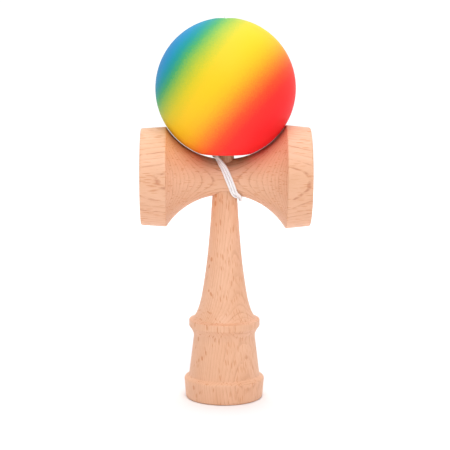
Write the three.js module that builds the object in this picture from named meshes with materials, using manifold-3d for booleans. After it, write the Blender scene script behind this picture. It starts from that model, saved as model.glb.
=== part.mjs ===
// A kendama standing on its base cup: a turned beech ken, a cross-piece (sarado) with a cup at each
// end, and a painted ball (tama) on the spike. One length of cord ties the ball to the cross-piece.
// Millimetres, +Z up, origin on the ken's axis in the plane that it stands on, +X towards the big cup.
import * as THREE from 'three';
import { mergeVertices } from 'three/addons/utils/BufferGeometryUtils.js';
import Module from 'manifold-3d';

const wasm = await Module();
wasm.setup();

// Driving dimensions
const SIDES = 40;                 // facets round a turned piece
const GAP = 0.3;                  // air between neighbouring solids
const BALL_R = 30;                // the standard 60 mm tama
const BALL = { x: 0.25, z: 135.1 };  // its centre when it rests between the cups
const SARADO_Z = 97.15;           // height of the cross-piece's axis

// Ken: base cup, slip-stop ring, handle and spike
const KEN = {
  baseR: 16.75, crestR: 17.5, crestZ: 8.8, creaseR: 15.5, creaseZ: 10, cupR: 14.6, cupDepth: 8,
  neckR: 13.4, neckZ: 27, ringR: 15.4, ringLow: 31.2, ringHigh: 34.6,
  shoulderR: 5.4, shoulderZ: 88.5, spikeR: 3.95, spikeZ: 106, tipR: 1.5, tipZ: 139.5,
};

// Cross-piece: each cup's ridge, its rim face and the radius of its dish
const DISH_R = 20.6;
const SMALL = { ridgeX: -25.2, rimX: -36.05, rimR: 20.8, openR: 18.2 };
const BIG = { ridgeX: 26.2, rimX: 36.75, rimR: 21.2, openR: 19 };
const SADDLE_R = BALL_R + GAP;    // the waist is hollowed to fit the ball

// Ball: the hole that the spike enters, its cavity, and the small string hole at the top
const HOLE = { rimR: 11.2, wallR: 9.5, topZ: 150.5, cornerR: 3 };
const STRING_HOLE_R = 1.25;
const MOUTH_R = 2.5;              // rounding of the string hole's mouth

// Cord, its bead and its knots
const CORD_R = 0.5;
const CORD_GAP = 0.25;            // air between the cord and the wood that it lies on
const STACK = 1.07;               // from one turn of the cord to the next that lies on it
const CORD_SIDES = 8;
const KNOT_R = 1.75;
const BEAD = { r: 3.6, height: 5 };

const along = (from, to, count) =>
  Array.from({ length: count + 1 }, (_, i) => THREE.MathUtils.lerp(from, to, i / count));

// Points on an arc in a profile's plane, from one angle to another in degrees
const arc = (cx, cy, r, from, to, count) => along(from, to, count).map((degrees) => {
  const a = THREE.MathUtils.degToRad(degrees);
  return new THREE.Vector2(cx + r * Math.cos(a), cy + r * Math.sin(a));
});

const line = (...pairs) => pairs.map(([r, h]) => new THREE.Vector2(r, h));

const smooth = (count, ...pairs) => new THREE.SplineCurve(line(...pairs)).getPoints(count);

// A turned piece: profile points are (radius, height), up the Z axis
function turned(profile, sides = SIDES) {
  return new THREE.LatheGeometry(profile, sides).rotateX(Math.PI / 2);
}

function toSolid(geometry) {
  const bare = geometry.clone();
  bare.deleteAttribute('normal');
  bare.deleteAttribute('uv');
  const merged = mergeVertices(bare, 1e-5);
  return new wasm.Manifold(new wasm.Mesh({
    numProp: 3,
    vertProperties: new Float32Array(merged.attributes.position.array),
    triVerts: new Uint32Array(merged.index.array),
  }));
}

function cut(geometry, ...tools) {
  let solid = toSolid(geometry);
  for (const tool of tools) solid = solid.subtract(toSolid(tool));
  const mesh = solid.getMesh();
  const result = new THREE.BufferGeometry();
  result.setAttribute('position', new THREE.BufferAttribute(mesh.vertProperties, 3));
  result.setIndex(new THREE.BufferAttribute(mesh.triVerts, 1));
  result.computeVertexNormals();
  return result;
}

// The ken's radius where the cross-piece sits, a straight taper
function kenRadius(z) {
  const t = (z - KEN.shoulderZ) / (KEN.spikeZ - KEN.shoulderZ);
  return THREE.MathUtils.lerp(KEN.shoulderR, KEN.spikeR, t);
}

// The waist's radius, hollowed by the ball that rests over it
function saddleRadius(x) {
  return BALL.z - SARADO_Z - Math.sqrt(SADDLE_R ** 2 - (x - BALL.x) ** 2);
}

// A cylinder along +Y from one y to another, at the cross-piece's height
function crossDrill(r, y0, y1, x = 0) {
  return new THREE.CylinderGeometry(r, r, y1 - y0, 20).translate(x, (y0 + y1) / 2, SARADO_Z);
}

function makeKen() {
  const dishR = (KEN.cupR ** 2 + KEN.cupDepth ** 2) / (2 * KEN.cupDepth);
  const dishEnd = THREE.MathUtils.radToDeg(Math.acos(KEN.cupR / dishR));
  const profile = [
    ...arc(0, KEN.cupDepth - dishR, dishR, 90, dishEnd, 8),
    ...line([KEN.baseR - 0.6, 0], [KEN.baseR - 0.15, 0.2], [KEN.baseR, 0.7]),
    ...line([KEN.crestR, KEN.crestZ - 0.5], [KEN.crestR - 0.2, KEN.crestZ]),
    ...line([KEN.creaseR, KEN.creaseZ]),
    ...smooth(5, [KEN.neckR, KEN.neckZ], [KEN.neckR + 0.1, KEN.neckZ + 1.5], [14.25, KEN.ringLow - 0.8]),
    ...line([15.05, KEN.ringLow], [KEN.ringR, KEN.ringLow + 0.5]),
    ...line([KEN.ringR, KEN.ringHigh - 0.3], [KEN.ringR - 0.4, KEN.ringHigh]),
    ...smooth(20, [13.7, 35.3], [11.9, 38.2], [10.38, 43], [9.1, 50], [7.72, 60], [6.32, 75],
      [KEN.shoulderR, KEN.shoulderZ]),
    ...smooth(9, [KEN.spikeR, KEN.spikeZ], [3.3, 119], [2.45, 131], [KEN.tipR + 0.2, KEN.tipZ - 1.6]),
    ...arc(0, KEN.tipZ - KEN.tipR, KEN.tipR, 15, 90, 4),
  ];
  profile[0].x = 0;
  profile.at(-1).x = 0;
  return cut(turned(profile), crossDrill(KNOT_R + GAP, 0, 8));
}

// One cup's end of the cross-piece, from the ridge out to the middle of its dish
function cupProfile({ ridgeX, rimX, rimR, openR }) {
  const out = Math.sign(rimX);
  const ridgeR = saddleRadius(ridgeX);
  const half = THREE.MathUtils.radToDeg(Math.asin(openR / DISH_R));
  const middle = rimX + out * Math.sqrt(DISH_R ** 2 - openR ** 2);
  const dish = along(half, 0, 9).map((degrees) => {
    const a = THREE.MathUtils.degToRad(degrees);
    return new THREE.Vector2(DISH_R * Math.sin(a), middle - out * DISH_R * Math.cos(a));
  });
  return [
    ...line([ridgeR - 0.25, ridgeX - out * 0.3], [ridgeR - 0.1, ridgeX + out * 0.3]),
    ...line([rimR + 0.1, rimX - out * 1.2], [rimR - 0.2, rimX - out * 0.35], [rimR - 0.8, rimX]),
    ...dish,
  ];
}

function makeSarado() {
  const saddle = along(SMALL.ridgeX + 1, BIG.ridgeX - 1, 22).map((x) =>
    new THREE.Vector2(saddleRadius(x), x));
  const profile = [...cupProfile(SMALL).reverse(), ...saddle, ...cupProfile(BIG)];
  profile[0].x = 0;
  profile.at(-1).x = 0;
  const body = new THREE.LatheGeometry(profile, SIDES).rotateZ(-Math.PI / 2).translate(0, 0, SARADO_Z);
  const [low, high] = [SARADO_Z - 15, SARADO_Z + 15];
  const bore = turned(line([0, low], [kenRadius(low) + GAP, low], [kenRadius(high) + GAP, high], [0, high]));
  return cut(body, bore, crossDrill(STRING_HOLE_R, 0, 15));
}

function makeTama() {
  const rimAngle = THREE.MathUtils.radToDeg(Math.acos(HOLE.rimR / BALL_R));
  const rimZ = -Math.sqrt(BALL_R ** 2 - HOLE.rimR ** 2);
  const top = HOLE.topZ - BALL.z;
  const mouthX = STRING_HOLE_R + MOUTH_R;
  const mouthZ = Math.sqrt(BALL_R ** 2 - mouthX ** 2) - MOUTH_R;
  const profile = [
    ...line([STRING_HOLE_R, top]),
    ...arc(HOLE.wallR - HOLE.cornerR, top - HOLE.cornerR, HOLE.cornerR, 90, 0, 3),
    ...line([HOLE.wallR, rimZ + HOLE.rimR - HOLE.wallR]),
    ...arc(0, 0, BALL_R, -rimAngle, THREE.MathUtils.radToDeg(Math.acos(mouthX / BALL_R)), 34),
    ...arc(mouthX, mouthZ, MOUTH_R, 105, 180, 5),
    ...line([STRING_HOLE_R, top]),
  ];
  return turned(profile).translate(BALL.x, 0, BALL.z);
}

// A point of the cord where it lies on the waist: 0 degrees is the front, 90 the top
function onWaist(x, degrees, lift = 0) {
  const r = saddleRadius(x) + CORD_R + CORD_GAP + lift;
  const a = THREE.MathUtils.degToRad(degrees);
  return [x, -r * Math.cos(a), SARADO_Z + r * Math.sin(a)];
}

// A point of the cord where it goes round the spike: 0 degrees is the front, 90 the left
function roundSpike(degrees, z, r = 4.95) {
  const a = THREE.MathUtils.degToRad(degrees);
  return [-r * Math.sin(a), -r * Math.cos(a), z];
}

// The cord winds three times round the waist and the spike together. Each turn's way down the
// waist's back, where the first comes out of the string hole
const BACK = [
  [[0, 4, SARADO_Z], [0, 7, SARADO_Z], [0, 9.2, 97.1], [0.3, 10.7, 96.3], [1.1, 11.1, 94.6],
    [2.2, 10.3, 92.8], onWaist(3.7, 222, 0.5), onWaist(4.9, 237, 0.15), onWaist(5.75, 252, 0.05)],
  [onWaist(1.5, 140, 0.15), onWaist(2.5, 158), onWaist(3.95, 180), onWaist(5.35, 207),
    onWaist(6.55, 234), onWaist(7.1, 257)],
  [onWaist(-0.1, 146, 0.4), onWaist(0.7, 160, 0.15), onWaist(2.3, 180), onWaist(4, 205, 0.1),
    onWaist(5.3, 226, 0.85), onWaist(6.1, 245, 1.05)],
];
// Under the waist and past the handle, where the third turn lies in the valley of the other two
const UNDER = [
  [[6.15, 1.2, 88.2], [6.03, -1.2, 88.25], [5.52, -2.8, 88.68], [4.65, -4.1, 88.95], [3.7, -5, 89.6]],
  [[7.2, 1.2, 87.95], [7.08, -1.2, 88], [6.6, -3, 88.5], [5.75, -4.45, 89.25], [4.85, -5.4, 90.15]],
  [[6.62, 1.2, 87.02], [6.6, -1.4, 87.05], [7.05, -3.4, 87.6], [6.75, -5, 88.85], [6.05, -5.95, 89.95]],
];
// Up the waist's front: degrees, x of the middle turn, and how far each turn is right of and
// above the one before it
const FRONT = [
  [-46, 3.97, 1.2, 0.1], [-23, 2.83, 1.14, 0], [-4, 1.74, 1.16, 0], [13, 0.7, 1.12, 0.2],
  [31, -0.56, 0.9, 0.65], [45, -1.95, 0.52, 0.98], [58, -2.96, 0.05, 1.08],
];
// From the spike's left round behind it, and down
const BEHIND = [
  [roundSpike(158, 106.45), [-0.1, 5.25, 106.1], [0.85, 5.75, 104.95]],
  [roundSpike(150, 107.6, 5.1), [-1.1, 5.95, 107], [-0.45, 6.65, 105.6]],
  [[-2.95, 5, 108.4], [-2.25, 6.4, 107.9], [-1.85, 7.3, 106.5]],
];
const turnOfCord = (k) => [
  ...BACK[k],
  ...UNDER[k],
  ...FRONT.map(([degrees, x, aside, above]) => onWaist(x + (k - 1) * aside, degrees, k * above)),
  roundSpike(50, 105.7 + 1.1 * STACK * k, 5.2),
  roundSpike(85, 106.35 + STACK * k),
  roundSpike(125, 106.5 + STACK * k),
  ...BEHIND[k],
];
// What is left hangs behind the handle in one loop, up to the back of the ball
const SLACK = [
  onWaist(-1.75, 142, 1), onWaist(-2, 163, 0.9), [-2.1, 10.2, 95.5], [-2, 10.3, 90.5],
  [-1.8, 10.3, 84], [-1.5, 10.6, 73], [-1, 12.2, 66.2], [-0.5, 15.6, 62.2], [0, 20, 60.8],
  [0.2, 24.8, 62.6], [0.25, 28.2, 67.2], [0.25, 30.2, 74.5], [0.25, 30.85, 85],
  [0.25, 30.85, 100], [0.25, 30.85, 116],
];
// Over the ball's back, over the lip of the string hole and down to the bead
function overBall() {
  const pathR = BALL_R + CORD_R + 0.35;
  const bendR = 3.8;
  const bendZ = BALL.z + Math.sqrt(pathR ** 2 - bendR ** 2) - bendR;
  const back = along(0, 72, 6).concat(80).map((degrees) => {
    const a = THREE.MathUtils.degToRad(degrees);
    return [BALL.x, pathR * Math.cos(a), BALL.z + pathR * Math.sin(a)];
  });
  const bend = along(75, 0, 3).map((degrees) => {
    const a = THREE.MathUtils.degToRad(degrees);
    return [BALL.x, bendR - bendR * Math.cos(a), bendZ + bendR * Math.sin(a)];
  });
  return [...back, ...bend, ...[157.3, 152.3, HOLE.topZ - BEAD.height - GAP].map((z) => [BALL.x, 0, z])];
}

const ROUTE = new THREE.CatmullRomCurve3(
  [...[0, 1, 2].flatMap(turnOfCord), ...SLACK, ...overBall()].map((p) => new THREE.Vector3(...p)));
ROUTE.arcLengthDivisions = 2000;

// The stretch of the route between two lengths along it, measured from its start
class Stretch extends THREE.Curve {
  constructor(from, to) {
    super();
    this.from = from / ROUTE.getLength();
    this.to = to / ROUTE.getLength();
  }

  getPoint(t, target = new THREE.Vector3()) {
    return ROUTE.getPointAt(THREE.MathUtils.lerp(this.from, this.to, t), target);
  }
}

function cordSolid(from, to, steps) {
  const section = new THREE.Shape(arc(0, 0, CORD_R, 0, 360 - 360 / CORD_SIDES, CORD_SIDES - 1));
  return new THREE.ExtrudeGeometry(section, { steps, extrudePath: new Stretch(from, to) });
}

function makeKnot(x, y, z) {
  const profile = arc(0, 0, KNOT_R, -90, 90, 10);
  profile[0].x = 0;
  profile.at(-1).x = 0;
  return turned(profile, 16).translate(x, y, z);
}

function makeBead() {
  const half = BEAD.height / 2;
  const profile = [
    ...line([STRING_HOLE_R, -half], [BEAD.r - 1.2, -half]),
    ...smooth(6, [BEAD.r - 0.4, 0.7 - half], [BEAD.r, 0], [BEAD.r - 0.4, half - 0.7]),
    ...line([BEAD.r - 1.2, half], [STRING_HOLE_R, half], [STRING_HOLE_R, -half]),
  ];
  return turned(profile, 24).translate(BALL.x, 0, HOLE.topZ - GAP - half);
}

const BEECH = { color: 0xe0b08a, roughness: 0.6, metalness: 0 };
const PAINT = { color: 0xf2b62a, roughness: 0.7, metalness: 0 };
const CORD = { color: 0xf2ecea, roughness: 0.9, metalness: 0 };

const kendama = new THREE.Group();
kendama.name = 'kendama';

function add(name, geometry, finish) {
  const mesh = new THREE.Mesh(geometry, new THREE.MeshStandardMaterial(finish));
  mesh.name = name;
  kendama.add(mesh);
}

// Lengths along the route at which one cord solid ends and the next begins
const WOUND_END = 208;
const SLACK_END = 311;

add('ken', makeKen(), BEECH);
add('sarado', makeSarado(), BEECH);
add('tama', makeTama(), PAINT);
add('string_wound', cordSolid(0, WOUND_END, 66), CORD);
add('string_slack', cordSolid(WOUND_END + GAP, SLACK_END, 20), CORD);
add('string_over_tama', cordSolid(SLACK_END + GAP, ROUTE.getLength(), 28), CORD);
add('string_bead', makeBead(), BEECH);
add('ken_knot', makeKnot(0, KNOT_R + 0.2, SARADO_Z), CORD);
add('tama_knot', makeKnot(BALL.x, 0, HOLE.topZ - BEAD.height - 2 * GAP - KNOT_R), CORD);

export default kendama;
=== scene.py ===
# %% [markdown]
# # A kendama, piece by piece
# A kendama is a cup-and-ball toy. A turned handle, the *ken*, has a spike at one end and a shallow
# cup at the other. A cross-piece, the *sarado*, is pushed onto it and has a cup at each end. A
# painted ball, the *tama*, hangs on a cord that is knotted inside the cross-piece. Here the toy
# stands on its base cup with the ball on the spike. The frame below is the engineered model: it
# says where every part sits, and everything made here is laid over it.

import bpy
import numpy as np
from mathutils import Euler, Matrix, Vector


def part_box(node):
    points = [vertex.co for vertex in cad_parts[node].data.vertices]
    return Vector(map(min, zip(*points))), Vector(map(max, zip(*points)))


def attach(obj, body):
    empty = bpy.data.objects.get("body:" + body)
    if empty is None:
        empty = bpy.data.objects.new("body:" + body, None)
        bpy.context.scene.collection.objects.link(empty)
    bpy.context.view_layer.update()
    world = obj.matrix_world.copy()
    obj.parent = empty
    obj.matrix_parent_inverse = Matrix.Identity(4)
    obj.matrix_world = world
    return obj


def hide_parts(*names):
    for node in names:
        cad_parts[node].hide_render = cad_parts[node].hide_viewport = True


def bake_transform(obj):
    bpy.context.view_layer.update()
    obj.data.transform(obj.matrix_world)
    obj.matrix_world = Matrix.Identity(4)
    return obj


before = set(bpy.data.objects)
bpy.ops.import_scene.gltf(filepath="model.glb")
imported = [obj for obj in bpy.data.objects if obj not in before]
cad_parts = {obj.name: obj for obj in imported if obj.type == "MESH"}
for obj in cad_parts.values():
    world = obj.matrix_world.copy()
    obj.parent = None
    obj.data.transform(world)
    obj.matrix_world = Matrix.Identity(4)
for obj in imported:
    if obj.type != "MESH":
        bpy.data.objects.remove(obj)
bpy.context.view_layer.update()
MM = 0.001

# %% [markdown]
# ## Places that everything else is worked out from
# The ball's radius and height are stated, its box gives its place along the cross-piece, and the
# cross-piece's box gives the height of its axis. The waist of the cross-piece is hollowed to the
# ball's own curve, so that the ball rests in it: its radius at any x follows from the ball alone.

# %% Ball, axis and waist
BALL_R = 30.0
GAP = 0.3
ball_low, ball_high = (np.array(c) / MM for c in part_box("tama"))
sarado_low, sarado_high = (np.array(c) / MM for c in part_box("sarado"))
ken_high = np.array(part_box("ken")[1]) / MM
BALL_X = (ball_low[0] + ball_high[0]) / 2
BALL_Z = 135.1
SARADO_Z = (sarado_low[2] + sarado_high[2]) / 2
print("ball at", round(BALL_X, 2), BALL_Z, "cross-piece axis at", round(SARADO_Z, 2))


def waist_radius(x):
    """Distance from the cross-piece's axis to the arc that stays one gap outside the ball."""
    return BALL_Z - SARADO_Z - np.sqrt((BALL_R + GAP) ** 2 - (x - BALL_X) ** 2)


# %% [markdown]
# ## Camera
# A long lens from about 0.6 m keeps the cross-piece's two rims nearly edge-on, while the base still
# shows as a soft ellipse. The camera stands a little above the ball's top and looks down at 8.6
# degrees, one degree round to the left.

# %% Camera
VIEW_DISTANCE, VIEW_HEIGHT = 620, 170.1
VIEW_DOWN, VIEW_ROUND, VIEW_ROLL = np.radians([8.62, 1.0, 0.16])

camera = bpy.data.objects.new("camera", bpy.data.cameras.new("camera"))
bpy.context.scene.collection.objects.link(camera)
bpy.context.scene.camera = camera
camera.location = (
    -VIEW_DISTANCE * np.sin(VIEW_ROUND) * MM,
    -VIEW_DISTANCE * np.cos(VIEW_ROUND) * MM,
    VIEW_HEIGHT * MM,
)
look = Euler((np.pi / 2 - VIEW_DOWN, 0, -VIEW_ROUND)).to_matrix()
camera.rotation_euler = (look @ Matrix.Rotation(VIEW_ROLL, 3, "Z")).to_euler()
camera.data.lens = 115.8
camera.data.sensor_width = 36
camera.data.shift_x = 0.0008
camera.data.clip_start = 0.05
print("camera at", [round(v, 3) for v in camera.location])

# %% [markdown]
# ## Three helpers for shapes
# Every turned piece is a profile swept round an axis, and the cord is a ring carried along a path.
# Both are grids of points, so one function makes a mesh from a grid, one makes smooth lines through
# a few chosen points, and one gives arcs.


# %% Grid to mesh
def grid_object(name, grid, wrap_rows=False):
    """A mesh from grid[row, side]: each ring closes on itself, and the rows close on themselves too
    when wrap_rows is set, or else end in a flat fan of triangles."""
    rows, sides, _ = grid.shape
    last = rows if wrap_rows else rows - 1
    i, j = np.meshgrid(np.arange(last), np.arange(sides), indexing="ij")
    above, beside = (i + 1) % rows, (j + 1) % sides
    low, high = i * sides, above * sides
    quads = np.stack([low + j, low + beside, high + beside, high + j], -1)
    faces = quads.reshape(-1, 4).tolist()
    points = grid.reshape(-1, 3)
    if not wrap_rows:
        first, end = len(points), len(points) + 1
        points = np.vstack([points, grid[0].mean(0), grid[-1].mean(0)])
        ring, following = np.arange(sides), (np.arange(sides) + 1) % sides
        top = (rows - 1) * sides
        faces += np.stack([following, ring, np.full(sides, first)], -1).tolist()
        faces += np.stack([ring + top, following + top, np.full(sides, end)], -1).tolist()
    mesh = bpy.data.meshes.new(name)
    mesh.from_pydata((points * MM).tolist(), [], faces)
    mesh.validate()
    piece = bpy.data.objects.new(name, mesh)
    bpy.context.scene.collection.objects.link(piece)
    return piece


def smooth_line(points, per_span):
    """A centripetal Catmull-Rom line through the points: each span is blended from straight lines
    between its four nearest points, timed by the square root of their distances."""
    p = np.array(points, float)
    p = np.vstack([2 * p[0] - p[1], p, 2 * p[-1] - p[-2]])
    t = np.concatenate([[0], np.cumsum(np.linalg.norm(np.diff(p, axis=0), axis=1) ** 0.5)])
    p0, p1, p2, p3 = (p[k : len(p) - 3 + k, None] for k in range(4))
    t0, t1, t2, t3 = (t[k : len(t) - 3 + k, None, None] for k in range(4))
    s = t1 + (t2 - t1) * (np.arange(per_span) / per_span)[None, :, None]

    def blend(a, b, ta, tb):
        return ((tb - s) * a + (s - ta) * b) / (tb - ta)

    a1, a2, a3 = blend(p0, p1, t0, t1), blend(p1, p2, t1, t2), blend(p2, p3, t2, t3)
    line = blend(blend(a1, a2, t0, t2), blend(a2, a3, t1, t3), t1, t2)
    return np.vstack([line.reshape(-1, p.shape[1]), p[-2]])


def arc(x, y, r, start, end, count):
    """Points (x + r cos a, y + r sin a) with a running from start to end, in degrees."""
    a = np.radians(np.linspace(start, end, count))
    return np.stack([x + r * np.cos(a), y + r * np.sin(a)], -1)


# %% [markdown]
# A turned profile comes as (radius, distance along the axis). Swept round +Z or +X it gives the
# rings of a grid. The sides run the way that keeps the faces pointing out.


# %% Turning
SIDES = 192


def turned(name, profile, axis="Z", centre=(0, 0, 0), sides=SIDES, closed=False):
    """Sweeps (radius, along) round an axis: two coordinates are radius times cosine and sine, and
    the third is the distance along."""
    radius, along = np.array(profile, float).T
    a = np.linspace(0, 2 * np.pi, sides, endpoint=False)
    across, up = np.outer(radius, np.cos(a)), np.outer(radius, np.sin(a))
    straight = np.repeat(along[:, None], sides, 1)
    order = {"Z": (across, up, straight), "X": (straight, across, up), "Y": (up, straight, across)}
    grid = np.stack(order[axis], -1) + np.array(centre)
    return grid_object(name, grid, wrap_rows=closed)


def resample(profile, step):
    """Extra points on each straight stretch of a profile that is longer than step."""
    pieces = [np.linspace(a, b, max(2, int(np.ceil(np.hypot(*(b - a)) / step)) + 1))[:-1]
              for a, b in zip(profile[:-1], profile[1:])]
    return np.vstack([*pieces, profile[-1:]])


def finish_shading(piece, sharp_degrees=40):
    """Smooth faces, and a crisp edge only where two faces meet at more than the given angle."""
    piece.data.shade_smooth()
    piece.data.set_sharp_from_angle(angle=np.radians(sharp_degrees))
    print(piece.name, len(piece.data.polygons), "faces")
    return piece


def cut(piece, *cutters):
    """Takes each cutter's shape out of the piece and throws the cutter away."""
    for cutter in cutters:
        modifier = piece.modifiers.new("cut", "BOOLEAN")
        modifier.operation, modifier.solver, modifier.object = "DIFFERENCE", "EXACT", cutter
        result = piece.evaluated_get(bpy.context.evaluated_depsgraph_get())
        mesh = bpy.data.meshes.new_from_object(result)
        piece.modifiers.clear()
        piece.data = mesh
        bpy.data.objects.remove(cutter)
    return piece


# %% [markdown]
# ## The cord
# The cord is a thin polyester braid, 1 mm thick and 393 mm long. It is knotted inside the
# cross-piece and comes out of a small hole in its back. A player who puts the toy away winds it
# three times round the waist and the spike together, so three strands cross the waist's front side
# by side and go up into the ball's hole. What is left hangs behind the handle in one loop and rises
# over the ball's back into the hole at its top. The turns are one loop of the program: each lies
# right of the one before it, and where they bunch, on top of it. The points of a turn and of the
# hanging loop are the same ones as the frame's.

# %% The cord's route
CORD_R = 0.5
CORD_GAP = 0.25
STACK = 1.07


def on_waist(x, degrees, lift=0.0):
    """A point beside the waist: 0 degrees is the front, 90 the top, a cord radius off the wood."""
    r = waist_radius(x) + CORD_R + CORD_GAP + lift
    a = np.radians(degrees)
    return [x, -r * np.cos(a), SARADO_Z + r * np.sin(a)]


def round_spike(degrees, z, r=4.95):
    """A point beside the spike: 0 degrees is the front, 90 the left."""
    a = np.radians(degrees)
    return [-r * np.sin(a), -r * np.cos(a), z]


way_down = [
    [[0, 4, SARADO_Z], [0, 7, SARADO_Z], [0, 9.2, 97.1], [0.3, 10.7, 96.3], [1.1, 11.1, 94.6],
     [2.2, 10.3, 92.8], on_waist(3.7, 222, 0.5), on_waist(4.9, 237, 0.15),
     on_waist(5.75, 252, 0.05)],
    [on_waist(1.5, 140, 0.15), on_waist(2.5, 158), on_waist(3.95, 180), on_waist(5.35, 207),
     on_waist(6.55, 234), on_waist(7.1, 257)],
    [on_waist(-0.1, 146, 0.4), on_waist(0.7, 160, 0.15), on_waist(2.3, 180), on_waist(4, 205, 0.1),
     on_waist(5.3, 226, 0.85), on_waist(6.1, 245, 1.05)],
]
way_under = [
    [[6.15, 1.2, 88.2], [6.03, -1.2, 88.25], [5.52, -2.8, 88.68], [4.65, -4.1, 88.95],
     [3.7, -5, 89.6]],
    [[7.2, 1.2, 87.95], [7.08, -1.2, 88], [6.6, -3, 88.5], [5.75, -4.45, 89.25],
     [4.85, -5.4, 90.15]],
    [[6.62, 1.2, 87.02], [6.6, -1.4, 87.05], [7.05, -3.4, 87.6], [6.75, -5, 88.85],
     [6.05, -5.95, 89.95]],
]
# Up the front: degrees, x of the middle turn, and each turn's step to the right and outwards
way_up = [
    (-46, 3.97, 1.2, 0.1), (-23, 2.83, 1.14, 0), (-4, 1.74, 1.16, 0), (13, 0.7, 1.12, 0.2),
    (31, -0.56, 0.9, 0.65), (45, -1.95, 0.52, 0.98), (58, -2.96, 0.05, 1.08),
]
way_behind = [
    [round_spike(158, 106.45), [-0.1, 5.25, 106.1], [0.85, 5.75, 104.95]],
    [round_spike(150, 107.6, 5.1), [-1.1, 5.95, 107], [-0.45, 6.65, 105.6]],
    [[-2.95, 5, 108.4], [-2.25, 6.4, 107.9], [-1.85, 7.3, 106.5]],
]
hanging = [
    on_waist(-1.75, 142, 1), on_waist(-2, 163, 0.9), [-2.1, 10.2, 95.5], [-2, 10.3, 90.5],
    [-1.8, 10.3, 84], [-1.5, 10.6, 73], [-1, 12.2, 66.2], [-0.5, 15.6, 62.2], [0, 20, 60.8],
    [0.2, 24.8, 62.6], [0.25, 28.2, 67.2], [0.25, 30.2, 74.5], [0.25, 30.85, 85],
    [0.25, 30.85, 100], [0.25, 30.85, 116],
]
turns = []
for k in range(3):
    turns += way_down[k] + way_under[k]
    turns += [on_waist(x + (k - 1) * aside, angle, k * above) for angle, x, aside, above in way_up]
    turns += [round_spike(50, 105.7 + 1.1 * STACK * k, 5.2)]
    turns += [round_spike(85, 106.35 + STACK * k), round_spike(125, 106.5 + STACK * k)]
    turns += way_behind[k]
KNOT_Z = 145.2


def route_over_ball():
    """Up the ball's back one cord radius off it, over the lip of the string hole, and down."""
    path_r, bend_r = BALL_R + CORD_R + 0.35, 3.8
    bend_z = BALL_Z + np.sqrt(path_r**2 - bend_r**2) - bend_r
    back = [[BALL_X, y, BALL_Z + z] for y, z in arc(0, 0, path_r, 0, 72, 7).tolist()]
    back += [[BALL_X, y, BALL_Z + z] for y, z in arc(0, 0, path_r, 80, 80, 1).tolist()]
    bend = [[BALL_X, y, bend_z + z] for y, z in arc(bend_r, 0, bend_r, 105, 180, 4).tolist()]
    return back + bend + [[BALL_X, 0, z] for z in (157.3, 152.3, KNOT_Z)]


def even_steps(line, step):
    """Points at equal distances along a line, worked out from its running length."""
    run = np.concatenate([[0], np.cumsum(np.linalg.norm(np.diff(line, axis=0), axis=1))])
    at = np.linspace(0, run[-1], int(round(run[-1] / step)) + 1)
    return np.stack([np.interp(at, run, line[:, k]) for k in range(3)], -1), at


route = smooth_line(turns + hanging + route_over_ball(), 24)
cord_path, cord_run = even_steps(route, 0.2)

# %% [markdown]
# A braid is two sets of strands that wind opposite ways and pass over and under each other. Where
# two cross, the surface swells, so the radius rises and falls as the product of two cosines, one
# for each winding. That is a pattern of small diamonds, four round the cord. The rings must not
# twist as the path bends, so each ring's frame is the last one turned by the least that it needs.


# %% The braided tube
def carried_frames(path, closed=False):
    """Two unit vectors across the path at each point: the first is the one before it with its
    component along the new direction taken out."""
    ahead = np.roll(path, -1, 0) - np.roll(path, 1, 0) if closed else np.gradient(path, axis=0)
    ahead /= np.linalg.norm(ahead, axis=1, keepdims=True)
    side = np.cross(ahead[0], [0.3, 0.2, 1.0])
    sides = []
    for direction in ahead:
        side = side - direction * (side @ direction)
        side = side / np.linalg.norm(side)
        sides.append(side)
    sides = np.array(sides)
    return sides, np.cross(ahead, sides)


def tube_grid(path, run, radius, sides, swell=0.0, diamond=1.1, closed=False):
    """Rings round the path: radius times (1 + swell cos(4a + k s) cos(4a - k s)), for angle a,
    distance s and k set by the diamonds' length."""
    first, second = carried_frames(path, closed)
    a = np.linspace(0, 2 * np.pi, sides, endpoint=False)[None]
    s = np.array(run)[:, None] * np.pi / diamond
    r = radius * (1 + swell * np.cos(2 * a + s) * np.cos(2 * a - s))
    return path[:, None] + r[..., None] * (
        np.cos(a)[..., None] * first[:, None] + np.sin(a)[..., None] * second[:, None]
    )


def add_run_map(piece, rows, sides, run):
    """A UV map for a tube: U is the distance along it in millimetres and V the turn, 0 to 1."""
    mesh = piece.data
    corners = np.empty(len(mesh.loops), int)
    mesh.loops.foreach_get("vertex_index", corners)
    row, side = np.minimum(corners // sides, rows - 1), corners % sides
    starts = np.empty(len(mesh.polygons), int)
    mesh.polygons.foreach_get("loop_start", starts)
    counts = np.empty(len(mesh.polygons), int)
    mesh.polygons.foreach_get("loop_total", counts)
    face = np.repeat(np.arange(len(starts)), counts)
    crosses = np.zeros(len(starts), bool)
    np.logical_or.at(crosses, face, side == sides - 1)
    turn = side / sides + (crosses[face] & (side == 0))
    mesh.uv_layers.new(name="run").data.foreach_set("uv", np.stack([run[row], turn], -1).ravel())


cord_sides = 24
cord = grid_object("cord", tube_grid(cord_path, cord_run, CORD_R, cord_sides, swell=0.07))
add_run_map(cord, len(cord_path), cord_sides, cord_run)
cord.data.shade_smooth()
print("cord faces:", len(cord.data.polygons))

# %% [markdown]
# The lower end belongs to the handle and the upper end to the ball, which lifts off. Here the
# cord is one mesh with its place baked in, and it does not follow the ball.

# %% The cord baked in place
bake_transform(cord)
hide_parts("string_wound", "string_slack", "string_over_tama")

# %% [markdown]
# ## Knots
# Each end of the cord is an overhand knot pulled tight. A closed trefoil has the same three
# crossings, so a short fat tube along it reads as a knot from every side.


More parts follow.
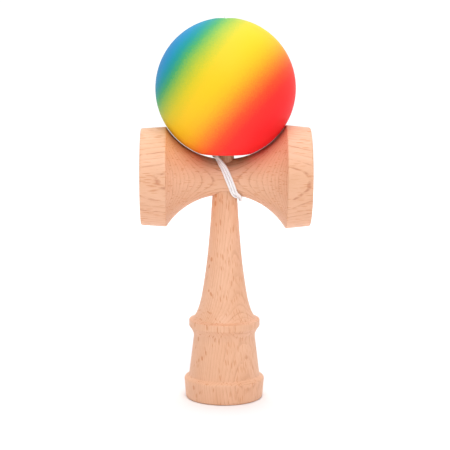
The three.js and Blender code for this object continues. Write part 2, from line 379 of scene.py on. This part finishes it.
# %% Two knots
def tight_knot(name, centre, size=1.2, thickness=0.5):
    """A tube along (sin t + 2 sin 2t, cos t - 2 cos 2t, -1.3 sin 3t) / 3, scaled to the knot's size."""
    t = np.linspace(0, 2 * np.pi, 120, endpoint=False)
    x, y, z = np.sin(t) + 2 * np.sin(2 * t), np.cos(t) - 2 * np.cos(2 * t), -1.3 * np.sin(3 * t)
    path = size * np.stack([x, y, z], -1) / 3 + np.array(centre)
    run = np.arange(len(path)) * size * 0.14
    knot = grid_object(name, tube_grid(path, run, thickness, 16, 0.07, closed=True), wrap_rows=True)
    add_run_map(knot, len(path), 16, run)
    knot.data.shade_smooth()
    return knot


ken_knot = tight_knot("ken_knot_tied", [0, 1.95, SARADO_Z])
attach(ken_knot, "ken")
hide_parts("ken_knot")
tama_knot = tight_knot("tama_knot_tied", [BALL_X, 0, 143.15])
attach(tama_knot, "string_end")
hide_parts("tama_knot")

# %% [markdown]
# ## The ken
# The handle is turned from one piece of beech on a lathe, so it is one profile swept round Z. The
# profile starts in the middle of the base cup, goes out over the base ring, up the straight cone to
# the slip-stop ring, and up the long flare and the spike. Each edge that the maker eased with
# sandpaper is a short arc, because a perfectly sharp edge shows no highlight.

# %% Ken profile
KEN_SHOULDER, KEN_SPIKE = (5.4, 88.5), (3.95, 106.0)


def ken_radius(z):
    """The straight taper where the cross-piece sits."""
    return np.interp(z, [60, KEN_SHOULDER[1], KEN_SPIKE[1], 200], [7.76, 5.4, 3.95, -3.84])


def eased(corner, before, after, r, count=6):
    """A rounded corner: a quadratic curve that starts r back along one side and ends r along the
    other, pulled towards the corner."""
    corner, before, after = (np.array(p, float) for p in (corner, before, after))
    a = corner + r * (before - corner) / np.hypot(*(before - corner))
    b = corner + r * (after - corner) / np.hypot(*(after - corner))
    t = np.linspace(0, 1, count)[:, None]
    return (1 - t) ** 2 * a + 2 * t * (1 - t) * corner + t**2 * b


CUP_R, CUP_DEPTH = 14.6, 8.0
dish_r = (CUP_R**2 + CUP_DEPTH**2) / (2 * CUP_DEPTH)
dish = arc(0, CUP_DEPTH - dish_r, dish_r, 90, np.degrees(np.arccos(CUP_R / dish_r)), 24)
base_foot, base_crest, crease = (16.75, 0), (17.5, 8.85), (15.45, 10.1)
neck = (13.4, 27.0)
flare = smooth_line(
    [(14.9, 34.95), (13.7, 35.3), (11.9, 38.2), (10.38, 43), (9.1, 50), (7.72, 60), (6.32, 75),
     KEN_SHOULDER], 10
)
spike = smooth_line([KEN_SHOULDER, KEN_SPIKE, (3.3, 119), (2.45, 131), (1.75, 137.6)], 10)
ken_profile = np.vstack([
    dish[:-1],
    eased((CUP_R, 0), dish[-2], base_foot, 0.35),
    eased(base_foot, (CUP_R, 0), base_crest, 1.1),
    eased(base_crest, base_foot, crease, 0.7),
    eased(crease, base_crest, neck, 0.25, 4),
    smooth_line([(13.55, 25.5), neck, (13.5, 28.6), (14.2, 30.3)], 6),
    eased((14.6, 31.0), (14.2, 30.3), (15.35, 31.6), 0.3, 3),
    eased((15.4, 31.8), (14.6, 31.0), (15.4, 33), 0.6),
    eased((15.4, 34.75), (15.4, 33), (14.9, 34.95), 0.45),
    flare,
    spike[1:],
    arc(0, ken_high[2] - 1.5, 1.5, 12, 89, 10),
])
ken_profile[0, 0] = 0.02
ken = turned("ken_turned", resample(ken_profile, 1.2))
knot_hole = turned("knot_hole", [(2.05, -0.1), (2.05, 8)], "Y", (0, 0, SARADO_Z), 48)
finish_shading(cut(ken, knot_hole))
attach(ken, "ken")
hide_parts("ken")

# %% [markdown]
# ## The sarado
# The cross-piece is turned round its own long axis and then bored through for the ken. Both dishes
# have the same curve. The outside of each cup is a slightly tapered band between a crisp ridge and
# a well-rounded rim, and between the ridges the waist follows the ball. The bore is tapered like
# the ken and only 0.05 mm wider all round, so the joint shows as a fine line. Taking the bore's
# shape out of the turned body gives the saddle-shaped joint lines without drawing them.

# %% Sarado profile
DISH_R = 20.6


def cup_end(ridge_x, rim_x, rim_r, open_r):
    """From the ridge out over the rim and down the dish to the axis, as (radius, x) points."""
    out = np.sign(rim_x)
    ridge = (waist_radius(ridge_x), ridge_x)
    inside = (waist_radius(ridge_x - out), ridge_x - out)
    rim, lip = (rim_r, rim_x), (open_r, rim_x)
    middle = rim_x + out * np.sqrt(DISH_R**2 - open_r**2)
    a = np.linspace(np.arcsin(open_r / DISH_R), 0, 30)
    bowl = np.stack([DISH_R * np.sin(a), middle - out * DISH_R * np.cos(a)], -1)
    return np.vstack([
        eased(ridge, inside, rim, 0.35),
        eased(rim, ridge, lip, 0.7, 8),
        eased(lip, rim, bowl[1], 0.35),
        bowl[1:],
    ])


small_end = cup_end(-25.2, sarado_low[0], 20.8, 18.2)
big_end = cup_end(26.2, sarado_high[0], 21.2, 19.0)
waist_x = np.linspace(-25.2 + 0.5, 26.2 - 0.5, 90)
waist = np.stack([waist_radius(waist_x), waist_x], -1)
sarado_profile = resample(np.vstack([small_end[::-1], waist, big_end]), 1.2)
sarado_profile[[0, -1], 0] = 0.02
sarado = turned("sarado_turned", sarado_profile, "X", (0, 0, SARADO_Z))

bore_z = np.array([SARADO_Z - 15, SARADO_Z + 15])
bore = turned("bore", np.stack([ken_radius(bore_z) + 0.05, bore_z], -1), sides=96)
hole_y = np.linspace(0, 1, 8)
hole_mouth = np.stack([1.2 + 0.8 * hole_y**2, 6.6 + 1.2 * hole_y], -1)
hole_profile = np.vstack([[(1.2, 0), (1.2, 6.6)], hole_mouth, [(2.0, 12)]])
string_hole = turned("string_hole", hole_profile, "Y", (0, 0, SARADO_Z), 48)
finish_shading(cut(sarado, bore, string_hole))
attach(sarado, "ken")
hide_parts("sarado")

# %% [markdown]
# ## The tama
# The ball is one closed profile: round the outside, over the rounded lip of the string hole, down
# that hole, across the top of the cavity, down its wall and out over the bevel. The paint covers
# the outside only, so the faces of the cavity get bare wood.

# %% Ball
HOLE_RIM, HOLE_WALL, HOLE_TOP = 11.2, 9.5, 150.5
STRING_HOLE, MOUTH = 1.25, 2.5
rim_angle = np.degrees(np.arccos(HOLE_RIM / BALL_R))
rim_z = -np.sqrt(BALL_R**2 - HOLE_RIM**2)
mouth_x = STRING_HOLE + MOUTH
mouth_z = np.sqrt(BALL_R**2 - mouth_x**2) - MOUTH
cavity_top = HOLE_TOP - BALL_Z
bevel_top = (HOLE_WALL, rim_z + 1.7)
tama_profile = np.vstack([
    arc(HOLE_WALL - 3, cavity_top - 3, 3, 90, 0, 8),
    resample(np.array([(HOLE_WALL, cavity_top - 3.2), bevel_top]), 2.0),
    eased((HOLE_RIM, rim_z), bevel_top, (HOLE_RIM + 1.2, rim_z + 0.52), 0.5, 5),
    arc(0, 0, BALL_R, -rim_angle + 1.2, np.degrees(np.arccos(mouth_x / BALL_R)), 120),
    arc(mouth_x, mouth_z, MOUTH, 100, 180, 12),
    resample(np.array([(STRING_HOLE, mouth_z - 0.5), (STRING_HOLE, cavity_top)]), 2.0),
])
tama = turned("tama_painted", tama_profile, centre=(BALL_X, 0, BALL_Z), closed=True)
finish_shading(tama)
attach(tama, "tama")
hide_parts("tama")

# %% [markdown]
# ## The bead
# A small turned bead stops the cord from pulling out through the ball.

# %% Bead
BEAD_LOW, BEAD_HIGH = 145.2, 150.2
bead_mid = (BEAD_LOW + BEAD_HIGH) / 2
side = smooth_line([(2.5, -2.45), (3.2, -1.85), (3.6, 0), (3.2, 1.85), (2.5, 2.45)], 8)
bead_profile = np.vstack([[(0.8, -2.5)], side, [(0.8, 2.5)]])
bead = turned("bead_turned", bead_profile, centre=(BALL_X, 0, bead_mid), sides=64, closed=True)
finish_shading(bead, 50)
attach(bead, "string_end")
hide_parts("string_bead")

# %% [markdown]
# ## Helpers for materials
# Colours are written as the hex values a painter would pick and turned to the linear numbers that
# the renderer adds up. One function adds a node, sets its values and wires its inputs.


# %% Colour and node helpers
def colour(hex_value):
    """sRGB hex to linear RGBA: c / 12.92 below 0.04045, else ((c + 0.055) / 1.055) to the 2.4."""
    c = np.array([int(hex_value[k : k + 2], 16) for k in (1, 3, 5)]) / 255
    linear = np.where(c < 0.04045, c / 12.92, ((c + 0.055) / 1.055) ** 2.4)
    return (*linear.tolist(), 1.0)


def add_node(tree, kind, settings=None, **inputs):
    """Adds one node. settings are its own properties, and each input is a value or a socket. An
    input's name has _ for a space, and a number picks an input by place, as i0, i1."""
    made = tree.nodes.new(kind)
    for key, value in (settings or {}).items():
        setattr(made, key, value)
    for key, value in inputs.items():
        place = int(key[1:]) if key[0] == "i" and key[1:].isdigit() else key.replace("_", " ")
        socket = made.inputs[place]
        if isinstance(value, bpy.types.NodeSocket):
            tree.links.new(value, socket)
        else:
            socket.default_value = value
    return made


def blank_material(name):
    """A material with only its shader and output, wired together."""
    material = bpy.data.materials.new(name)
    material.use_nodes = True
    tree = material.node_tree
    tree.nodes.clear()
    shader = add_node(tree, "ShaderNodeBsdfPrincipled")
    add_node(tree, "ShaderNodeOutputMaterial", Surface=shader.outputs[0])
    return material, tree, shader


def maths(tree, operation, a, b=0.0, c=0.0):
    return add_node(tree, "ShaderNodeMath", {"operation": operation}, i0=a, i1=b, i2=c).outputs[0]


def vectors(tree, operation, a, b=(0, 0, 0)):
    """Vector maths. A length and a dot product come out as a number, the rest as a vector."""
    made = add_node(tree, "ShaderNodeVectorMath", {"operation": operation}, i0=a, i1=b)
    return made.outputs["Value" if operation in ("LENGTH", "DOT_PRODUCT") else "Vector"]


def span(tree, value, low, high, to_low=0.0, to_high=1.0):
    """Eases from to_low to to_high as the value goes from low to high, and holds beyond them."""
    return add_node(tree, "ShaderNodeMapRange", {"interpolation_type": "SMOOTHSTEP"}, Value=value,
                    i1=low, i2=high, i3=to_low, i4=to_high).outputs[0]


def noise(tree, place, scale=1.0, detail=2.0, rough=0.5):
    return add_node(tree, "ShaderNodeTexNoise", Vector=place, Scale=scale, Detail=detail,
                    Roughness=rough).outputs["Fac"]


def object_place(tree):
    return add_node(tree, "ShaderNodeTexCoord").outputs["Object"]


def ramp(tree, factor, stops):
    """A colour ramp. stops are (position, hex colour) pairs."""
    made = add_node(tree, "ShaderNodeValToRGB", Fac=factor)
    while len(made.color_ramp.elements) < len(stops):
        made.color_ramp.elements.new(0.5)
    for element, (position, hex_value) in zip(made.color_ramp.elements, stops):
        element.position, element.color = position, colour(hex_value)
    return made.outputs[0]


def mix(tree, factor, a, b):
    """Mixes two colours."""
    settings = {"data_type": "RGBA"}
    return add_node(tree, "ShaderNodeMix", settings, i0=factor, i6=a, i7=b).outputs[2]


# %% [markdown]
# ## Beech
# Steamed European beech, sanded and hardly oiled. It is pale and pinkish, and three things give it
# away. Yearly layers 1 to 2 mm apart end in a fine darker line, and where a turned surface cuts
# them they draw nested arches. Ray flecks, sheets of cells that run outwards from the heart, show
# as sparse reddish dashes where they are cut across, 2 to 4 mm long and 0.4 mm wide. And fine
# fibres streak along the grain. All three are solid patterns in the wood's own directions, out from
# the heart, round it and along the grain, so they meet properly at every edge.


# %% Beech
def beech(name, centre, outward, aside, grain, layer, heart, line, fleck_size, cell_size, chance):
    """outward, aside and grain are the wood's own directions from its centre. layer is the distance
    between yearly lines and heart the distance to the tree's heart, in millimetres, and line is the
    lines' strength. A fleck of fleck_size sits in each cell of cell_size with the given chance."""
    material, tree, shader = blank_material(name)
    to_centre = tuple(-v for v in centre)
    place = add_node(tree, "ShaderNodeVectorMath", {"operation": "MULTIPLY_ADD"},
                     i0=object_place(tree), i1=(1000, 1000, 1000), i2=to_centre).outputs[0]
    out, side, along = (vectors(tree, "DOT_PRODUCT", place, way) for way in (outward, aside, grain))
    wood = add_node(tree, "ShaderNodeCombineXYZ", X=out, Y=side, Z=along).outputs[0]

    def cells(size, seed):
        return add_node(tree, "ShaderNodeMapping", Vector=wood, Location=(seed, seed, seed),
                        Scale=tuple(1 / v for v in size)).outputs[0]

    def times(a, b):
        return maths(tree, "MULTIPLY", a, b)

    # Yearly layers: distance from the heart, bent a little, in years. Each year's line has its own
    # strength and is broken along its length
    out = maths(tree, "ADD", out, heart)
    flat = add_node(tree, "ShaderNodeCombineXYZ", X=out, Y=side).outputs[0]
    distance = vectors(tree, "LENGTH", flat)
    bent = maths(tree, "MULTIPLY_ADD", noise(tree, cells((14, 14, 60), 0.0)), 2.6, distance)
    bent = maths(tree, "MULTIPLY_ADD", noise(tree, cells((2.5, 2.5, 9), 2.0)), 0.35, bent)
    years = maths(tree, "DIVIDE", bent, layer)
    year = maths(tree, "FRACT", years)
    strength = add_node(tree, "ShaderNodeTexWhiteNoise", {"noise_dimensions": "1D"},
                        W=maths(tree, "FLOOR", years)).outputs["Value"]
    late = span(tree, year, 0.3, 0.9)
    from_line = maths(tree, "ABSOLUTE", maths(tree, "SUBTRACT", year, 0.9))
    drawn = span(tree, from_line, 0.0, 0.2 / layer, 1.0, 0.0)
    breaks = noise(tree, cells((1.6, 1.2, 4), 3.0), 1.0, 3.0, 0.6)
    drawn = times(drawn, span(tree, breaks, 0.36, 0.6))
    drawn = times(drawn, maths(tree, "MULTIPLY_ADD", strength, 0.75, 0.25))

    # Ray flecks: one oval in some of the cells, round its own spot in the cell
    fleck_cells = cells(cell_size, 1.7)
    spots = add_node(tree, "ShaderNodeTexVoronoi", {"feature": "F1"}, Vector=fleck_cells, Scale=1.0)
    away = vectors(tree, "SUBTRACT", fleck_cells, spots.outputs["Position"])
    shares = tuple(2 * cell / fleck for cell, fleck in zip(cell_size, fleck_size))
    reach = vectors(tree, "LENGTH", vectors(tree, "MULTIPLY", away, shares))
    dice = add_node(tree, "ShaderNodeSeparateColor", Color=spots.outputs["Color"]).outputs
    chosen = span(tree, dice[0], 1 - chance, 1 - chance * 0.4)
    fleck = times(span(tree, reach, 0.55, 1.0, 1.0, 0.0), chosen)

    fibre = noise(tree, cells((0.35, 0.3, 7), 9.0), 1.0, 3.0, 0.6)
    patch = noise(tree, cells((9, 9, 30), 6.0))

    body = ramp(tree, patch, [(0.3, WOOD_LOW), (0.7, WOOD_HIGH)])
    body = mix(tree, times(late, 0.25), body, colour(WOOD_LATE))
    body = mix(tree, span(tree, fibre, 0.38, 0.72, 0.0, 0.28), body, colour(WOOD_FIBRE))
    body = mix(tree, times(drawn, line), body, colour(WOOD_LINE))
    body = mix(tree, times(fleck, 0.95), body, colour(WOOD_FLECK))
    tree.links.new(body, shader.inputs["Base Color"])

    relief = maths(tree, "MULTIPLY_ADD", fleck, -0.7, times(fibre, 0.5))
    bump = add_node(tree, "ShaderNodeBump", Height=relief, Strength=0.12, Distance=0.0001)
    tree.links.new(bump.outputs[0], shader.inputs["Normal"])
    tree.links.new(span(tree, fibre, 0.3, 0.7, 0.46, 0.56), shader.inputs["Roughness"])
    shader.inputs["IOR"].default_value = 1.65
    return material


# The ken's heart is behind it on the left. The cross-piece's is straight behind it, and its grain
# runs across.
WOOD_LOW, WOOD_HIGH, WOOD_LATE = "#e3ad88", "#eab896", "#daa07a"
WOOD_FIBRE, WOOD_LINE, WOOD_FLECK = "#d5976e", "#b86a42", "#d0885a"
lean = np.radians(40)
ken_beech = beech(
    "beech, grain along the handle", (0, 0, 0),
    outward=(np.sin(lean), -np.cos(lean), 0), aside=(np.cos(lean), np.sin(lean), 0), grain=(0, 0, 1),
    layer=1.0, heart=90, line=0.42,
    fleck_size=(1.6, 0.36, 3.8), cell_size=(1.6, 0.75, 3.8), chance=0.75,
)
sarado_beech = beech(
    "beech, grain along the cross-piece", (0, 0, SARADO_Z),
    outward=(0, -1, 0), aside=(0, 0, 1), grain=(1, 0, 0),
    layer=1.35, heart=120, line=0.85,
    fleck_size=(1.6, 0.36, 4.6), cell_size=(1.6, 0.85, 4.6), chance=0.65,
)
for piece, material in ((ken, ken_beech), (sarado, sarado_beech), (bead, ken_beech)):
    piece.data.materials.clear()
    piece.data.materials.append(material)

# %% [markdown]
# ## Rubber paint
# The ball is sprayed with soft-feel paint in a fade from blue through green, yellow and orange to
# red, and left matte. The fade runs straight across the ball, so the ramp reads the distance from
# its centre along one direction, and it bends a little at the blue end, where the sprayer's hand
# turned. Droplets of about 0.5 mm shift each colour slightly into the next one. The spray leaves a
# relief far finer than the render shows, so its bump is drawn coarser than it is, at 0.25 mm.


# %% Rubber paint
def rubber_paint():
    material, tree, shader = blank_material("soft-feel rubber paint, faded")
    place = object_place(tree)
    from_centre = vectors(tree, "SUBTRACT", place, (BALL_X * MM, 0, BALL_Z * MM))
    fade_way = Vector((0.743, -0.1, -0.669)).normalized() / (2 * BALL_R * MM)
    cross_way = Vector((-0.669, 0, -0.743)) / (2 * BALL_R * MM)
    run = vectors(tree, "DOT_PRODUCT", from_centre, tuple(fade_way))
    across = vectors(tree, "DOT_PRODUCT", from_centre, tuple(cross_way))
    before = maths(tree, "MAXIMUM", maths(tree, "MULTIPLY", run, -1.0), 0.0)
    left = maths(tree, "MULTIPLY", maths(tree, "MAXIMUM", across, 0.0), before)
    run = maths(tree, "MULTIPLY_ADD", left, -0.5, run)
    run = maths(tree, "ADD", run, 0.5)
    wander = noise(tree, place, 28.0, 1.0)
    droplets = noise(tree, place, 1800.0, 1.0)
    for shift, amount in ((wander, 0.03), (droplets, 0.06)):
        run = maths(tree, "MULTIPLY_ADD", maths(tree, "SUBTRACT", shift, 0.5), amount, run)
    fade = [
        (0.0, "#0080be"), (0.06, "#008bb6"), (0.11, "#0c9492"), (0.16, "#46a664"), (0.21, "#8ab949"),
        (0.27, "#bec436"), (0.33, "#e0ca28"), (0.42, "#f8ca22"), (0.48, "#fcc71f"), (0.54, "#fcbd20"),
        (0.605, "#fba222"), (0.67, "#fc7a28"), (0.73, "#fd5028"), (0.8, "#fe3029"), (0.9, "#fe1f25"),
        (1.0, "#fb1b26"),
    ]
    tree.links.new(ramp(tree, run, fade), shader.inputs["Base Color"])
    grain = noise(tree, place, 4000.0)
    bump = add_node(tree, "ShaderNodeBump", Height=grain, Strength=0.05, Distance=0.0001)
    tree.links.new(bump.outputs[0], shader.inputs["Normal"])
    shader.inputs["Roughness"].default_value = 0.55
    shader.inputs["IOR"].default_value = 1.27
    return material


tama.data.materials.append(rubber_paint())
tama.data.materials.append(ken_beech)
face_centres = np.empty(3 * len(tama.data.polygons))
tama.data.polygons.foreach_get("center", face_centres)
from_axis = face_centres.reshape(-1, 3) / MM - [BALL_X, 0, BALL_Z]
inside = np.linalg.norm(from_axis, axis=1) < BALL_R - 1.2
tama.data.polygons.foreach_set("material_index", inside.astype(int))
print("bare faces in the cavity:", int(inside.sum()))

# %% [markdown]
# ## Braided cord
# A white polyester braid of very fine fibres. Its diamonds are in the mesh already. The
# material adds the fibres that lie along each strand, 0.25 mm apart, as a soft bump across the two
# winding directions, read from the cord's own map so that they follow every bend. It also paints
# shade into the grooves between the fibres, and the colour varies at random with a soft fuzz.


# %% Braided cord
FIBRE_STEP = 0.25


def braided_cord():
    material, tree, shader = blank_material("white braided cord")
    run = add_node(tree, "ShaderNodeUVMap", {"uv_map": "run"}).outputs[0]
    parts = add_node(tree, "ShaderNodeSeparateXYZ", Vector=run)
    along, turn = parts.outputs[0], parts.outputs[1]
    drift = maths(tree, "MULTIPLY", along, 0.55)
    ways = [maths(tree, "MULTIPLY_ADD", turn, way * 2 * np.pi * CORD_R, drift) for way in (1, -1)]
    waves = 2 * np.pi / FIBRE_STEP
    fibres = [maths(tree, "SINE", maths(tree, "MULTIPLY", way, waves)) for way in ways]
    height = maths(tree, "MAXIMUM", *fibres)
    fuzz = noise(tree, run, 6.0, 3.0)
    # Painted shade: the colour darkens where the fibre height is low, in the grooves between fibres;
    # the fuzz adds random tone.
    fuzz_and_groove_shade = ramp(tree, maths(tree, "MULTIPLY_ADD", fuzz, 0.4, maths(tree, "MULTIPLY", height, 0.3)),
                [(0.1, "#efeaeb"), (0.45, "#fcfafa")])
    tree.links.new(fuzz_and_groove_shade, shader.inputs["Base Color"])
    bump = add_node(tree, "ShaderNodeBump", Height=height, Strength=0.2, Distance=0.0001)
    tree.links.new(bump.outputs[0], shader.inputs["Normal"])
    shader.inputs["Roughness"].default_value = 0.9
    shader.inputs["Sheen Weight"].default_value = 0.3
    shader.inputs["Sheen Roughness"].default_value = 0.5
    return material


cord_finish = braided_cord()
for piece in (cord, ken_knot, tama_knot):
    piece.data.materials.append(cord_finish)

# %% [markdown]
# ## Studio
# The toy stands on a white sheet in a tent of soft light, so almost every surface faces something
# white and the only dark is where two pieces meet. The tent is brighter behind the toy than in
# front of it, which gives the pale sheen along the tops of the cups, and to the lens its far wall
# is plain white. The far part of the sheet is given a painted glow that rises towards the back, so
# that it meets the wall without a line; no lamp lights it there. One large box in front gives the
# slight fall-off from top to bottom, and a weaker one straight above joins in with the sheen.

# %% Floor
FLOOR_HALF = 0.8
floor_mesh = bpy.data.meshes.new("floor")
FLOOR_GAP = 0.02 * MM
signs = ((-1, -1), (1, -1), (1, 1), (-1, 1))
corners = [(x * FLOOR_HALF, y * FLOOR_HALF, -FLOOR_GAP) for x, y in signs]
floor_mesh.from_pydata(corners, [], [(0, 1, 2, 3)])
floor = bpy.data.objects.new("floor", floor_mesh)
bpy.context.scene.collection.objects.link(floor)
sheet, sheet_tree, sheet_shader = blank_material("white card sheet")
sheet_shader.inputs["Base Color"].default_value = colour("#f6f5f7")
sheet_shader.inputs["Roughness"].default_value = 0.9
sheet_shader.inputs["Specular IOR Level"].default_value = 0.0
sheet_place = add_node(sheet_tree, "ShaderNodeSeparateXYZ", Vector=object_place(sheet_tree))
# Painted light: the far part of the sheet glows, more towards the back, though no lamp is there.
far_painted_glow = span(sheet_tree, sheet_place.outputs["Y"], 0.05, 0.6, 0.0, 0.35)
sheet_shader.inputs["Emission Color"].default_value = (1, 1, 1, 1)
sheet_tree.links.new(far_painted_glow, sheet_shader.inputs["Emission Strength"])
floor_mesh.materials.append(sheet)

# %% Light
TENT_FRONT, TENT_BACK, TENT_SEEN = 0.42, 1.08, 1.0
world = bpy.data.worlds.new("white tent")
bpy.context.scene.world = world
world.use_nodes = True
tent = world.node_tree
way = add_node(tent, "ShaderNodeTexCoord").outputs["Generated"]
backwards = add_node(tent, "ShaderNodeSeparateXYZ", Vector=way).outputs["Y"]
lit = span(tent, backwards, -0.4, 0.7, TENT_FRONT, TENT_BACK)
seen = add_node(tent, "ShaderNodeLightPath").outputs["Is Camera Ray"]
strength = maths(tent, "MAXIMUM", lit, maths(tent, "MULTIPLY", seen, TENT_SEEN))
tent.nodes["Background"].inputs["Color"].default_value = (1, 1, 1, 1)
tent.links.new(strength, tent.nodes["Background"].inputs["Strength"])


def softbox(name, place, aim, size, power):
    """A square lamp at a place in metres, turned to face the aim."""
    lamp = bpy.data.lights.new(name, "AREA")
    lamp.shape, lamp.size, lamp.energy = "SQUARE", size, power
    holder = bpy.data.objects.new(name, lamp)
    bpy.context.scene.collection.objects.link(holder)
    holder.location = place
    holder.rotation_euler = (Vector(aim) - Vector(place)).to_track_quat("-Z", "Y").to_euler()
    return holder


softbox("front box", (0.05, -0.78, 1.05), (0, 0, 0.1), 0.8, 9.6)
softbox("top box", (0, 0.15, 1.05), (0, 0, 0.1), 0.7, 4)
bpy.context.scene.view_settings.view_transform = "Standard"
print("lights set")
